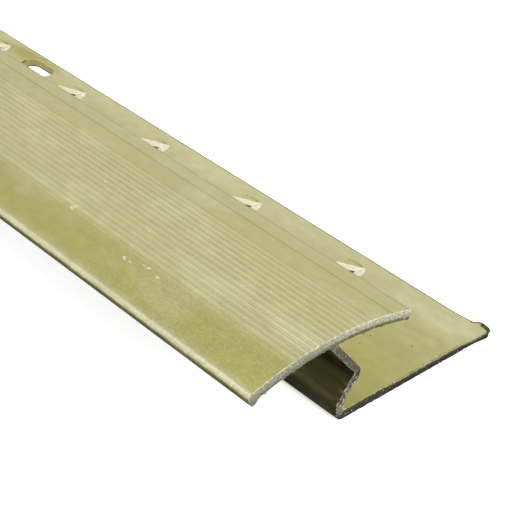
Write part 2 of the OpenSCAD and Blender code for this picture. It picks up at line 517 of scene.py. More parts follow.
@dataclass(frozen=True)
class ToothPunch(Punching):
    """A pointed tongue that is sheared from the plate and bent up about its root, over its cut-out."""

    root_y: float = 28.0
    root_half: float = 1.75
    root_arch: float = 0.4
    tip_half: float = 0.55
    length: float = 6.2
    taper: float = 1.6
    lift: float = 30.0
    bend: float = 0.6
    thick: float = 0.72
    crown: float = 0.12
    curl: float = -0.2
    rubbed: float = 0.25
    rubbed_tip: float = 0.4
    gap: float = 0.12
    stations: tuple[float, ...] = (
        0.0, 0.15, 0.3, 0.45, 0.6, 0.9, 1.4, 2.0, 2.7, 3.5, 4.3, 5.0, 5.5, 5.8, 6.0, 6.12, 6.18, 6.2
    )
    across: int = 12
    # Half width of the cut-out by its distance from the root, and how its lip is drawn in and raised there
    cut_half: tuple[Point2, ...] = (
        (0.0, 1.75), (0.45, 2.1), (1.1, 2.45), (1.7, 2.7), (2.15, 2.8), (2.5, 2.5), (2.9, 1.95), (3.4, 1.5),
        (4.2, 1.25), (5.2, 1.0), (6.2, 0.65),
    )
    lip_in: tuple[Point2, ...] = (
        (0.0, 0.0), (0.45, 0.4), (1.1, 0.8), (1.7, 1.1), (2.15, 1.2), (2.5, 0.95), (2.9, 0.45), (3.4, 0.15),
        (4.2, 0.1), (6.2, 0.0),
    )
    lip_up: tuple[Point2, ...] = (
        (0.0, 0.0), (0.45, 0.15), (1.1, 0.3), (2.15, 0.34), (2.9, 0.15), (4.2, 0.05), (6.2, 0.0),
    )
    # How far two rings of the lip, its crest and its inner edge, are drawn in and raised, and the hole's foot
    crest: Point2 = (1.0, 1.0)
    inner: Point2 = (1.1, 0.7)
    foot_in: float = 0.9
    rolled_from: float = 0.05
    gap_reach: float = 0.4
    nose_least: float = 0.03
    root_reach: float = 3.0
    curl_power: float = 2.5
    spine_steps: int = 40

    def spine(self, along: float) -> tuple[Point2, Point2]:
        """Where the middle of the tongue's top face is.

        Args:
            along: distance from the root along the tongue.

        Returns:
            The place as (y, z), and the unit normal there.
        """
        steps, y, z = self.spine_steps, self.root_y + self.section.shift, self.section.base_t
        for i in range(steps):
            tilt = math.radians(self.lift) * smooth(0.0, self.bend, along * (i + 0.5) / steps)
            y -= math.cos(tilt) * along / steps
            z += math.sin(tilt) * along / steps
        tilt = math.radians(self.lift) * smooth(0.0, self.bend, along)
        return (y, z + self.curl * (along / self.length) ** self.curl_power), (math.sin(tilt), math.cos(tilt))

    def row(self, along: float, under: bool) -> Line3:
        """One row of points across the tongue.

        Args:
            along: distance from the root along the tongue.
            under: whether the row is on the tongue's lower face.

        Returns:
            The points, by rising x.
        """
        (y, z), normal = self.spine(along)
        half = self.half_width(along)
        grown = smooth(0.0, self.bend, along)
        deep = (self.section.base_t + (self.thick - self.section.base_t) * grown) if under else 0.0
        found = []
        for i in range(self.across + 1):
            u = 2 * i / self.across - 1
            rise = self.crown * grown * (1 - u * u) * half / self.root_half - deep
            arched = self.root_arch * (0.5 - u * u) * (1 - smooth(0.0, self.root_reach, along))
            x = half + (self.far_side(along) - half) * (1 - u) / 2
            found.append((x, y + normal[0] * rise + arched, z + normal[1] * rise))
        return found

    def tongue(self, shell: Shell) -> None:
        """Adds the tongue, open where it joins the plate. The punch rubs its top bright along one side."""
        tops, unders = ([self.row(s, under) for s in self.stations] for under in (False, True))
        for k, station in enumerate(self.stations[:-1]):
            (here, there), (here_low, there_low) = tops[k : k + 2], unders[k : k + 2]
            for i in range(self.across):
                inset = here[-1][0] - (here[i][0] + here[i + 1][0]) / 2
                rubbed = self.rubbed + self.rubbed_tip * station / self.length
                finish = Finish.SHEARED if k and inset < rubbed else Finish.GOLD
                shell.face([here[i], there[i], there[i + 1], here[i + 1]], finish)
                shell.face([here_low[i], here_low[i + 1], there_low[i + 1], there_low[i]], Finish.GOLD)
            for side, turned in ((0, True), (self.across, False)):
                shell.face([here[side], there[side], there_low[side], here_low[side]], Finish.SHEARED, turned)
        for i in range(self.across):
            shell.face([there[i], there_low[i], there_low[i + 1], there[i + 1]], Finish.SHEARED)

    def drop(self, along: float) -> float:
        """How far the ends of a row lie behind its middle, where the root line is arched."""
        return 0.5 * self.root_arch * (1 - smooth(0.0, self.root_reach, along))

    def half_width(self, along: float) -> float:
        """Half the tongue's width at a distance from the root."""
        return self.tip_half + (self.root_half - self.tip_half) * (1 - (along / self.length) ** self.taper)

    def far_side(self, along: float) -> float:
        """The x of the tongue's far side, which is rounded off toward the near side at the nose."""
        wide, nose = self.half_width(along), max(0.0, 1 - (self.length - along) / (2 * self.tip_half))
        return wide * (1 - 2 * math.sqrt(max(self.nose_least, 1 - nose * nose)))

    def rim(self, drawn_in: float, raised: float, height: float | None) -> Line3:
        """A ring round the cut-out, from the root's near side round the tip to its far side.

        The near side is flared out by the punch. The far side is cut close to the tongue.

        Args:
            drawn_in: how much of the lip's width the ring is drawn in by.
            raised: how much of the lip's height it is raised by.
            height: its height where it is the same all round, or None for the plate's top face.

        Returns:
            The points, as on a clock seen from above.
        """
        root, t = self.root_y + self.section.shift, self.section.base_t
        near: Line3 = []
        for along, wide in self.cut_half:
            narrow = read_off(list(self.lip_in), along) * drawn_in
            up = t + read_off(list(self.lip_up), along) * raised if height is None else height
            near.append((wide - narrow, root - along - self.drop(along), up))
        far: Line3 = []
        for along in self.stations:
            wide = self.half_width(along) + self.gap * smooth(0.0, self.gap_reach, along)
            far.append((-wide, root - along - self.drop(along), t if height is None else height))
        return [*near, (0.0, root - self.length - self.gap, far[-1][2]), *reversed(far)]

    def build(self, shell: Shell) -> None:
        """Adds the tooth, its cut-out and the plate round them."""
        base, crest, inner = (self.rim(*ring, None) for ring in ((0.0, 0.0), self.crest, self.inner))
        foot = self.rim(self.foot_in, 0.0, 0.0)
        root = [(x, y) for x, y, _ in self.row(0.0, False)]
        self.plate(shell, self.ringed(base, root), self.ringed(foot, root))
        self.walls(shell, [base[::-1], crest[::-1], inner[::-1], foot[::-1]], self.wall_finish, False)
        self.tongue(shell)

    def wall_finish(self, middle: Point3) -> Finish:
        """The near side is rolled over and pale. The far side, under the tongue, takes painted shade."""
        return Finish.ROLLED if middle[0] > self.rolled_from else Finish.GRIMED

    @staticmethod
    def ringed(rim: Line3, root: Line2) -> Line2:
        """A cut-out's ring with the root's own points between its two ends."""
        return [(x, y) for x, y, _ in rim] + root[1:-1]


@dataclass(frozen=True)
class SlotPunch(Punching):
    """A round-ended fixing slot, with the rolled edge that a punch leaves."""

    middle_y: float = 26.7
    width: float = 3.6
    length: float = 7.8
    roll: float = 0.16
    roll_middle: Point2 = (0.35, 0.3)
    foot: float = 0.2
    steps: int = 14

    def ring(self, grown: float) -> Line2:
        """The slot's outline, grown by a small amount, against the clock."""
        reach, y = (self.length - self.width) / 2, self.middle_y + self.section.shift
        radius, ends = self.width / 2 + grown, ((reach, -90), (-reach, 90))
        return [p for x, turn in ends for p in arc((x, y), radius, turn, turn + 180, self.steps)]

    def build(self, shell: Shell) -> None:
        """Adds the slot and the plate round it."""
        t, roll, (out, down) = self.section.base_t, self.roll, self.roll_middle
        rings = [(roll, t), (roll * out, t - roll * down), (0.0, t - roll), (0.0, self.foot), (0.0, 0.0)]
        self.plate(shell, self.ring(self.roll), self.ring(0.0))
        self.walls(shell, [[(x, y, z) for x, y in self.ring(g)] for g, z in rings], self.wall_finish, True)

    def wall_finish(self, middle: Point3) -> Finish:
        """Painted shade on the rolled edge toward the web and round the foot of the wall."""
        toward_web = middle[1] < self.middle_y + self.section.shift
        rolled = middle[2] > self.section.base_t - self.roll
        return Finish.GRIMED if toward_web and rolled or middle[2] < self.foot else Finish.WALL


@dataclass(frozen=True)
class Stretch:
    """One stretch of the bar, open at both ends, that repeats along it."""

    section: BarSection
    length: float = 12.5

    def mesh(self, cut: Cut) -> bpy.types.Mesh:
        """Makes the stretch.

        Args:
            cut: what is punched in it.

        Returns:
            Its mesh, centred on x = 0.
        """
        shell, half = Shell(), self.length / 2
        outline = self.section.outline()
        for here, there in zip(outline, outline[1:] + outline[:1]):
            # Painted shade: a dark line along the rounded arris of the plate's free edge.
            finish = Finish.GRIMED if self.section.on_free_edge(here, there) else Finish.GOLD
            if cut is Cut.PLAIN or not self.section.punched(here, there):
                shell.face([(-half, *here), (-half, *there), (half, *there), (half, *here)], finish)
        if cut is Cut.TOOTH:
            ToothPunch(self.section, self.length).build(shell)
        elif cut is Cut.SLOT:
            SlotPunch(self.section, self.length).build(shell)
        return shell.mesh(f"stretch_{cut.value}")


@dataclass(frozen=True)
class SawnEnd:
    """The last stretch of the bar, to its sawn face, with the ragged arris that the saw leaves."""

    section: BarSection
    bar_length: float = 900.0
    stretch: float = 6.25
    side: int = 1
    seed: float = 3.0
    # How far the plate's free corner is pushed out by its distance from the sawn face
    corner: tuple[Point2, ...] = (
        (0.0, 0.5), (0.12, 0.62), (0.3, 0.74), (0.6, 0.87), (1.0, 0.95), (1.5, 0.98), (1.9, 0.8), (2.3, 0.42),
        (2.7, 0.27), (3.6, 0.2), (6.0, 0.0),
    )
    bulge: float = 0.68
    bulge_from: float = 7.1
    bulge_to: float = 2.3
    bulge_low: float = 0.3
    bulge_depth: float = 1.5
    depths: tuple[float, ...] = (6.0, 4.4, 3.4, 2.8, 2.5, 2.2, 1.9, 1.6, 1.2, 0.9, 0.6, 0.4, 0.25)
    spacing: float = 0.28
    face_depth: float = 0.02
    lip_depth: float = 0.09
    ragged: float = 0.06
    arris: float = 0.04
    burr: float = 0.32
    wave: float = 0.3
    chip: float = 0.16
    ear_burr: float = 0.22
    spread: float = 1.4
    outline_w: float = 0.45
    outline_grown: float = 0.55
    outline_over: Point2 = (4.0, 0.6)
    grain: float = 0.3
    grain_rise: float = 0.87
    relief: float = 0.07
    # From which depth to which the saw's push and its tears grow to their whole size
    rough_over: Point2 = (1.2, 0.2)
    torn_over: Point2 = (0.5, 0.1)
    # Sizes of the coarse and the fine tears, and the share of each or of the fine ones
    burr_sizes: Point2 = (0.55, 0.2)
    burr_fine: float = 0.15
    chip_sizes: Point2 = (0.9, 0.3)
    chip_fine: float = 0.5
    bite_sizes: Point2 = (0.45, 0.2)
    bite_shares: Point2 = (0.6, 0.4)
    lip_size: float = 0.35
    ear_size: float = 0.5
    ear_uneven: float = 0.4
    wave_size: float = 0.8

    def jitter(self, y: float, z: float, size: float, layer: float) -> float:
        """Smooth random number from -1 to 1 that changes over a size in millimetres."""
        return noise.noise(Vector((y / size + self.seed, z / size, layer)))

    def torn(self, y: float, z: float, sizes: Point2, share: float, layer: float) -> float:
        """Metal torn off at a place: jitter of two sizes, the second by its share, and never below 0."""
        coarse, fine = (self.jitter(y, z, size, layer + i) for i, size in enumerate(sizes))
        return max(0.0, coarse + share * fine)

    def rim_width(self, depth: float) -> float:
        """How wide the outline of painted shade round the plate's pushed-out corner is at a depth."""
        return self.outline_w + self.outline_grown * smooth(*self.outline_over, depth)

    def fine_outline(self) -> tuple[Line2, list[int]]:
        """The section's outline in short steps.

        Returns:
            The points, and for each the number of the plain outline's stretch that it lies on.
        """
        outline, points, owners = self.section.outline(), [], []
        for i, (here, there) in enumerate(zip(outline, outline[1:] + outline[:1])):
            steps = max(1, math.ceil(math.dist(here, there) / self.spacing))
            for k in range(steps):
                points.append(tuple(h + (t - h) * k / steps for h, t in zip(here, there)))
                owners.append(i)
        return points, owners

    def loop(self, depth: float, drawn_in: float) -> Line2:
        """The outline near the sawn face, pushed about by the saw.

        Args:
            depth: distance from the sawn face.
            drawn_in: how far the outline is drawn in.

        Returns:
            The outline's points.
        """
        section = self.section
        outline, _ = self.fine_outline()
        edge = section.base_w - section.edge_r + section.shift - 1e-6
        rough, near = smooth(*self.rough_over, depth), smooth(*self.torn_over, depth)
        middle = (section.arch_c[0] + section.shift, section.arch_c[1])
        pushed = read_off(list(self.corner), depth)
        found = []
        for before, here, after in zip(outline[-1:] + outline[:-1], outline, outline[1:] + outline[:1]):
            way = Vector((after[0] - before[0], after[1] - before[1])).normalized()
            y, z = here[0] - way.y * drawn_in, here[1] + way.x * drawn_in
            under = way.x > 0.7 and here[1] > section.knee_z + 2.0
            if under and math.dist(here, middle) < section.cover_r - section.cover_t + 0.3:
                z -= self.burr * near * self.torn(y, z, self.burr_sizes, self.burr_fine, Layer.BURR)
            if here[0] > edge - self.spread and here[1] < section.base_t + SLACK:
                share = smooth(edge - self.spread, edge, here[0])
                y += pushed * share
                if here[1] > section.base_t / 2:
                    uneven = 1 + self.ear_uneven * self.jitter(depth, z, self.ear_size, Layer.EAR)
                    z += self.ear_burr * max(0.0, pushed) * share * uneven
            if here[1] < SLACK and here[0] > section.shift + section.heel_r:
                z += self.chip * near * self.torn(y, z, self.chip_sizes, self.chip_fine, Layer.CHIP)
            low = smooth(section.knee_z + 1.5, section.knee_z - 0.5, z) * smooth(0.2, 1.8, z)
            if here[0] < section.shift + section.knee_y + section.web_t + 0.2:
                y += self.wave * rough * low * self.jitter(y, z, self.wave_size, Layer.LEG)
            found.append((y, z))
        return found

    def at(self, depth: float, y: float = 0.0, z: float = 99.0) -> float:
        """The x of a place near the sawn face, where the top of the plate's free corner bulges out.

        Args:
            depth: distance from the sawn face.
            y: the place across the bar.
            z: its height.

        Returns:
            The x.
        """
        edge, near = self.section.base_w + self.section.shift, smooth(self.bulge_depth, 0.0, depth)
        out = self.bulge * smooth(edge - self.bulge_from, edge - self.bulge_to, y) * near
        high = smooth(0.0, self.section.base_t, z) if z < self.section.base_t + 0.5 else 0.0
        low = self.bulge_low * smooth(edge - self.bulge_to, edge, y) * near if self.bulge else 0.0
        return self.side * (self.bar_length / 2 - depth + max(out * high, low))

    def strip(self, shell: Shell, near: Line3, far: Line3, finish: Finish, rim_w: float = 0.0) -> None:
        """Adds the faces between two rings.

        Args:
            shell: takes the faces.
            near: the ring further from the sawn face.
            far: the ring nearer to it.
            finish: the material slot they take.
            rim_w: how wide the outline of painted shade round the plate's pushed-out corner is.
        """
        edge, upper = max(p[1] for p in far) - rim_w, self.section.base_t - self.section.edge_r - 0.05
        for i in range(len(near)):
            j = (i + 1) % len(near)
            # Painted shade round the outline of the plate's pushed-out corner
            in_shaded_rim = rim_w and min(far[i][1], far[j][1]) > edge and far[i][2] > upper
            quad = [near[i], near[j], far[j], far[i]]
            shell.face(quad, Finish.GRIMED if in_shaded_rim else finish, self.side < 0)

    def mesh(self) -> bpy.types.Mesh:
        """Makes the end.

        Returns:
            Its mesh, in its place on the bar.
        """
        shell = Shell()
        plain, (fine, owners) = self.section.outline(), self.fine_outline()
        first, start = self.depths[0], [(self.at(self.depths[0]), *p) for p in fine]
        # The first faces join the plain outline to the fine one.
        for i, (here, there) in enumerate(zip(plain, plain[1:] + plain[:1])):
            inner = [p for p, owner in zip(start, owners) if owner == i]
            ring = [(self.at(self.stretch), *here), (self.at(self.stretch), *there), (self.at(first), *there)]
            ring += inner[::-1]
            # Painted shade along the rounded arris of the plate's free edge, as on the stretches
            finish = Finish.GRIMED if self.section.on_free_edge(here, there) else Finish.GOLD
            shell.face(ring, finish, self.side < 0)
        rings = [start]
        rings += [[(self.at(depth, *p), *p) for p in self.loop(depth, 0.0)] for depth in self.depths[1:]]
        lip = []
        for y, z in self.loop(self.lip_depth, 0.0):
            depth = self.lip_depth + self.ragged * self.jitter(y, z, self.lip_size, Layer.LIP)
            lip.append((self.at(depth, y, z), y, z))
        face_loop = self.loop(0.0, self.arris)
        for depth, near, far in zip(self.depths[1:], rings, rings[1:]):
            self.strip(shell, near, far, Finish.GOLD, self.rim_width(depth))
        self.strip(shell, rings[-1], lip, Finish.GOLD, self.rim_width(self.lip_depth))
        self.strip(shell, lip, [self.bitten(y, z) for y, z in face_loop], Finish.SAWN)
        self.cap(shell, face_loop)
        return shell.mesh(f"end_{'near' if self.side > 0 else 'far'}")

    def bitten(self, y: float, z: float) -> Point3:
        """Moves a place on the sawn face by the grain that the saw's teeth left.

        Args:
            y: the place across the bar.
            z: its height.

        Returns:
            The place.
        """
        sizes = enumerate(zip(self.bite_shares, self.bite_sizes))
        bite = sum(share * abs(self.jitter(y, z, size, Layer.BITE + i)) for i, (share, size) in sizes)
        return (self.at(self.face_depth + self.relief * bite, y, z), y, z)

    def cap(self, shell: Shell, ring: Line2) -> None:
        """Adds the sawn face itself.

        Args:
            shell: takes the faces.
            ring: the face's own outline.
        """
        low_y, high_y, high_z = min(p[0] for p in ring), max(p[0] for p in ring), max(p[1] for p in ring)
        step, rise, inner = self.grain, self.grain * self.grain_rise, []
        for row in range(int(high_z / rise) + 1):
            for column in range(int((high_y - low_y) / step) + 1):
                place = (low_y + (column + 0.5 * (row % 2)) * step, row * rise)
                if inside(place, ring) and min(math.dist(place, p) for p in ring) > step / 2:
                    inner.append(place)
        places, faces = filled(ring, [], inner)
        for face in faces:
            shell.face([self.bitten(*places[i]) for i in face], Finish.SAWN, self.side < 0)


def linear(code: str) -> tuple[float, ...]:
    """Linear red, green, blue and an alpha of 1 for an sRGB colour, given as #RRGGBB."""
    parts = [int(code[i : i + 2], 16) / 255 for i in (1, 3, 5)]
    return (*[p / 12.92 if p <= 0.04045 else ((p + 0.055) / 1.055) ** 2.4 for p in parts], 1.0)


class Nodes:
    """A node tree, with a short call for each node that is used often.

    A value in these calls is a number, a vector or another node's output.
    """

    def __init__(self, tree: bpy.types.NodeTree) -> None:
        """Takes the tree."""
        self.tree = tree

    def add(self, kind: str, inputs: dict | None = None, **settings: object) -> bpy.types.Node:
        """Adds one node with its settings and links.

        Args:
            kind: Blender's name for the kind of node.
            inputs: the value of each input, by its name or number.
            settings: the node's own properties.

        Returns:
            The node.
        """
        node = self.tree.nodes.new(kind)
        for name, value in settings.items():
            setattr(node, name, value)
        for key, value in (inputs or {}).items():
            if isinstance(value, Socket):
                self.tree.links.new(value, node.inputs[key])
            else:
                node.inputs[key].default_value = value
        return node

    def math(self, operation: str, *values: Value) -> Socket:
        """Result of a Math node."""
        return self.add("ShaderNodeMath", dict(enumerate(values)), operation=operation).outputs[0]

    def times(self, *values: Value) -> Socket:
        """Product of two or more values."""
        return reduce(lambda one, other: self.math("MULTIPLY", one, other), values)

    def vector(self, operation: str, inputs: dict, output: int = 0) -> Socket:
        """Result of a Vector Math node."""
        return self.add("ShaderNodeVectorMath", inputs, operation=operation).outputs[output]

    def scaled(self, vector: Socket, factor: Value) -> Socket:
        """A vector or colour times a number."""
        return self.vector("SCALE", {0: vector, 3: factor})

    def ramp(self, value: Value, *span: float, high: float = 1.0, curve: str = "LINEAR") -> Socket:
        """Maps a value from one range to another and holds it there.

        Args:
            value: the value.
            span: where it starts and stops, then what it becomes there if that isn't 0 and high.
            high: what it becomes where it stops.
            curve: Blender's name for the way between.

        Returns:
            The mapped value.
        """
        start, stop, low, top = (*span, 0.0, high)[:4] if len(span) == 2 else (*span, high)[:4]
        inputs = {0: value, 1: start, 2: stop, 3: low, 4: top}
        return self.add("ShaderNodeMapRange", inputs, interpolation_type=curve).outputs[0]

    def mix(self, share: Value, *colours: Value | str) -> Socket:
        """Mixes two colours, each a value or a hex code."""
        one, other = (linear(c) if isinstance(c, str) else c for c in colours)
        return self.add("ShaderNodeMix", {0: share, 6: one, 7: other}, data_type="RGBA").outputs[2]

    def split(self, vector: Socket) -> list[Socket]:
        """The x, y and z of a vector."""
        return list(self.add("ShaderNodeSeparateXYZ", {0: vector}).outputs)


class Look(Nodes):
    """A material in the making, with the piece's Object coordinates in millimetres as its place."""

    def __init__(self, name: str) -> None:
        """Starts an empty material of that name."""
        self.material = bpy.data.materials.new(name)
        self.material.use_nodes = True
        super().__init__(self.material.node_tree)
        self.tree.nodes.clear()
        given = self.add("ShaderNodeTexCoord").outputs
        self.place, self.normal = self.scaled(given["Object"], 1 / MM), given["Normal"]

    def noise(
        self, place: Socket, size: float, detail: float, stretch: float = 1.0, output: int = 0
    ) -> Socket:
        """A cloudy pattern of a size in millimetres. Output 0 is grey, and 1 has three patterns in one."""
        return self.streaks(place, (1 / size / stretch, 1 / size, 1 / size), detail, output)

    def streaks(self, place: Socket, scale: Point3, detail: float, output: int = 0) -> Socket:
        """A noise with its own scale along each axis."""
        inputs = {"Vector": self.add("ShaderNodeMapping", {"Vector": place, "Scale": scale}).outputs[0]}
        return self.add("ShaderNodeTexNoise", {**inputs, "Scale": 1.0, "Detail": detail}).outputs[output]

    def strayed(self, size: float, detail: float, reach: Point3) -> Socket:
        """The place read a little off, because no tone on real metal ends quite straight.

        Args:
            size: how long one stray is.
            detail: how many finer layers it has.
            reach: how wide it swings along each axis.

        Returns:
            The coordinates.
        """
        stray = self.noise(self.place, size, detail, output=1)
        middled = self.vector("SUBTRACT", {0: stray, 1: (0.5, 0.5, 0.5)})
        return self.vector("MULTIPLY_ADD", {0: middled, 1: reach, 2: self.place})

    def above_cover(self, section: BarSection, y: Socket, z: Socket) -> Socket:
        """Height above the middle of the cover's wall.

        Args:
            section: the bar's section.
            y: the coordinate across the bar.
            z: the height.

        Returns:
            The height, square to the wall.
        """
        side = self.math("SUBTRACT", y, section.arch_c[0] + section.shift)
        up = self.math("SUBTRACT", z, section.arch_c[1])
        radius = self.vector("LENGTH", {0: self.add("ShaderNodeCombineXYZ", {1: side, 2: up}).outputs[0]}, 1)
        return self.math("SUBTRACT", radius, section.cover_r - section.cover_t / 2)

    def bump(self, height: Socket, strength: float, distance: float) -> Socket:
        """Relief too fine to model, by its strength and its depth in millimetres."""
        inputs = {"Height": height, "Strength": strength, "Distance": distance * MM}
        return self.add("ShaderNodeBump", inputs).outputs[0]

    def shaded(self, inputs: dict[str, Value]) -> bpy.types.Material:
        """Ends the material with a Principled shader.

        Args:
            inputs: the shader's inputs, by name.

        Returns:
            The material.
        """
        shader = self.add("ShaderNodeBsdfPrincipled", inputs)
        self.add("ShaderNodeOutputMaterial", {0: shader.outputs[0]})
        return self.material


@dataclass(frozen=True)
class Tones:
    """Colours that change along a line: each stop is a place in millimetres and the colour there."""

    stops: tuple[tuple[float, str], ...]

    def build(self, look: Look, place: Socket) -> Socket:
        """Builds them.

        Args:
            look: the material.
            place: the coordinate that they change along.

        Returns:
            The colour.
        """
        (first, start), (last, stop) = self.stops[0], self.stops[-1]
        ramp = look.add("ShaderNodeValToRGB", {0: look.ramp(place, first, last)})
        marks = ramp.color_ramp.elements
        marks[0].color, marks[1].color = linear(start), linear(stop)
        for at, code in self.stops[1:-1]:
            marks.new((at - first) / (last - first)).color = linear(code)
        return ramp.outputs[0]


@dataclass(frozen=True)
class Patch:
    """One marked place in the finish, with a soft edge, as wide all the way up."""

    x: float
    y: float
    long: float
    wide: float
    turn: float = 0.0
    strength: float = 1.0
    soft: Span = (1.0, 0.2)

    def build(self, look: Look, place: Socket) -> Socket:
        """Builds it.

        Args:
            look: the material.
            place: the coordinates.

        Returns:
            How strong the mark is there.
        """
        spread = look.add("ShaderNodeMapping", {
            "Vector": place, "Location": (self.x, self.y, 0.0),
            "Rotation": (0.0, 0.0, math.radians(self.turn)), "Scale": (self.long / 2, self.wide / 2, FAR),
        }, vector_type="TEXTURE")
        away = look.vector("LENGTH", {0: spread.outputs[0]}, 1)
        return look.ramp(away, *self.soft, high=self.strength, curve="SMOOTHSTEP")


def patches(*rows: tuple[float, ...]) -> tuple[Patch, ...]:
    """Patches from rows of their fields."""
    return tuple(Patch(*row) for row in rows)


@dataclass(frozen=True)
class GoldAnodising:
    """Satin gold anodised aluminium: etched matt, dyed pale gold, with lengthwise die lines, wear, and
    painted light and shade.
    """

    section: BarSection = field(default_factory=BarSection)
    # The fluted middle and the outer flange are handled and walked on, so they are paler and hazier, partly
    # as painted sheen.
    # The lip-side flange is darker with painted shade, and a line of painted shade runs along the carpet
    # edge.
    cover: Tones = Tones((
        (-23.5, "#BDB975"), (-21.5, "#BBB671"), (-18.9, "#B9B470"), (-18.2, "#B6B171"), (-16.2, "#B9B577"),
        (-15.6, "#C5C190"), (-8.5, "#C5C190"), (-1.6, "#C0BC89"), (-0.8, "#B8B47F"), (2.4, "#B9B580"),
        (2.7, "#ABA66B"), (3.0, "#BAB680"), (5.7, "#BBB783"), (6.05, "#A5A068"), (6.5, "#C4C090"),
    ))
    # Across the base plate: painted light next to the web, in the cover's shade, painted shade round the
    # cover's carpet edge, and paler toward the free edge
    base: Tones = Tones((
        (-7.5, "#E6E08C"), (-5.0, "#DED887"), (-2.0, "#C9C47A"), (1.5, "#B5B06B"), (8.5, "#B0AB70"),
        (12.0, "#B3AE74"), (15.0, "#B3AE78"), (18.0, "#BBB786"), (20.5, "#C1BD90"), (22.4, "#C2BE90"),
        (23.4, "#B9B471"),
    ))
    # Up the bent tongues: painted shade where they bend, brighter above
    tongue: Tones = Tones(((1.6, "#9E985C"), (1.85, "#B5AF6C"), (2.3, "#CCC681")))
    # The rolled lip is rubbed pale where feet meet it, with a painted highlight there, and painted shade
    # below it.
    lip: Tones = Tones((
        (11.0, "#5A5730"), (12.05, "#67633A"), (12.22, "#75713F"), (12.36, "#938F57"), (12.5, "#BAB57E"),
        (12.64, "#D6D2A6"), (12.82, "#E8E5CB"), (13.0, "#D6D3B0"), (13.16, "#CAC698"), (13.35, "#C1BD86"),
    ))
    # Up the recess: painted shade, dark at the foot, a painted highlight on the web's bend, and dark again in
    # its fold and above
    recess: Tones = Tones((
        (0.2, "#1C1B10"), (0.7, "#29281A"), (1.3, "#3F3D24"), (2.2, "#494728"), (3.0, "#5C5A35"),
        (3.5, "#7A784B"), (4.0, "#757348"), (4.6, "#716F44"), (5.2, "#827F50"), (6.0, "#838151"),
        (6.6, "#595735"), (7.1, "#2C2A18"), (7.9, "#4A482B"), (12.0, "#4A482B"),
    ))
    haze: str = "#DAD7B4"
    fleck: str = "#E9E6CC"
    pit: str = "#8A864F"
    stain: str = "#A79F55"
    speck: str = "#3C3A22"
    fluting: float = 0.085
    fluting_far: float = -0.01
    rib_place: float = 0.64
    roughness: float = 0.44
    rough_swing: float = 0.05
    # Each noise: its size in millimetres, its finer layers, and how many times longer it is along the bar
    die_lines: Span = (0.45, 3.0, 300.0)
    clouds: Span = (22.0, 4.0, 1.7)
    mottle: Span = (1.6, 4.0, 1.5)
    blotches: Span = (7.0, 5.0, 2.5)
    flecks: Span = (0.45, 2.0, 1.6)
    fleck_groups: Span = (11.0, 2.0, 1.5)
    web_streaks: Span = (1.3, 3.0, 60.0)
    speckles: Span = (0.34, 2.0, 1.3)
    speckle: float = 0.1352
    relief: Point2 = (0.12, 0.02)
    wobble: Point2 = (1.4, 4.0)
    wobble_reach: Point3 = (0.4, 0.4, 0.4)
    rib_wear: float = 0.12
    wear_lift: float = 0.38
    # Where a noise starts to show and is complete, and how strong it is there
    blotch_shows: Span = (0.5, 0.72, 0.0, 0.3)
    group_shows: Span = (0.42, 0.6, 0.0, 0.16)
    fleck_shows: Span = (0.74, 0.88, 0.0, 0.85)
    pit_shows: Span = (0.25, 0.19, 0.0, 0.6)
    streak_shows: Span = (0.4, 0.7, 0.8, 1.4)
    speckle_from: Span = (0.25, 0.75)
    tone_swing: Span = (0.88, 1.12)
    die_share: float = 0.5
    mottle_share: float = 0.45
    # The ribs' strength by the number of ribs from the cover's middle
    rib_weaker: Span = (0.0, 4.0, 1.0, 0.4)
    rib_faded: float = 3.0
    # Where tones change, in millimetres: each pair is where the change starts and where it is complete.
    tongue_root: Span = (1.65, 1.75)
    tongues_from: float = 12.3
    lip_edge: Span = (-21.9, -22.5)
    recess_lean: Span = (-0.35, -0.6)
    recess_out: Span = (-8.4, -9.2)
    recess_in: Span = (-2.4, -2.8)
    recess_up: Span = (0.0, -0.2)
    # The end that is seen in the shop is handled most: its ribs are rubbed and its etch is speckled.
    # The painted highlight and shade across the ribs also fade away from it.
    rib_shading_along: Span = (365.0, 440.0)
    handled: Span = (395.0, 430.0, 0.2)
    handled_side: Span = (-13.0, -17.5, 0.2)
    trodden: Span = (385.0, 425.0, 0.35)
    trodden_side: Span = (-4.0, -12.0, 0.1)
    on_cover: Span = (8.0, 9.0, 0.1)
    scuffs: tuple[Patch, ...] = patches(
        (380.3, 6.4, 1.8, 0.6), (403.6, 6.1, 1.6, 0.5), (399.6, -16.0, 4.0, 1.6, 60.0, 0.8),
        (397.8, -8.1, 3.0, 0.8, 10.0, 0.8), (415.4, -17.8, 1.7, 1.3), (416.8, -17.7, 1.8, 1.1, 0.0, 0.8),
        (419.4, -16.9, 3.0, 1.2), (422.0, -17.2, 3.4, 1.6, 0.0, 0.65), (421.2, -19.2, 2.6, 1.8, 0.0, 0.6),
        (422.6, -15.3, 1.4, 0.8, 0.0, 0.7), (413.0, -11.2, 3.6, 1.4, 0.0, 0.6), (449.8, 12.6, 0.8, 0.5),
        (449.8, 15.8, 0.8, 0.5),
    )
    hazes: tuple[Patch, ...] = patches(
        (445.6, 18.6, 5.0, 3.0, 20.0, 0.3), (446.8, 14.2, 4.5, 3.0, 0.0, 0.2),
        (438.0, 19.0, 9.0, 3.4, 0.0, 0.2), (427.0, -12.5, 26.0, 5.0, 0.0, 0.25),
        (446.0, -12.0, 14.0, 5.0, 0.0, 0.4),
    )
    stains: tuple[Patch, ...] = patches(
        (333.0, 20.6, 26.0, 5.0, 2.0, 0.85), (428.0, 1.7, 1.4, 0.8, 40.0, 0.7)
    )
    specks: tuple[Patch, ...] = patches(
        (439.9, 8.7, 0.4, 0.34), (440.2, 6.3, 0.36, 0.3), (445.7, 11.6, 0.5, 0.3)
    )

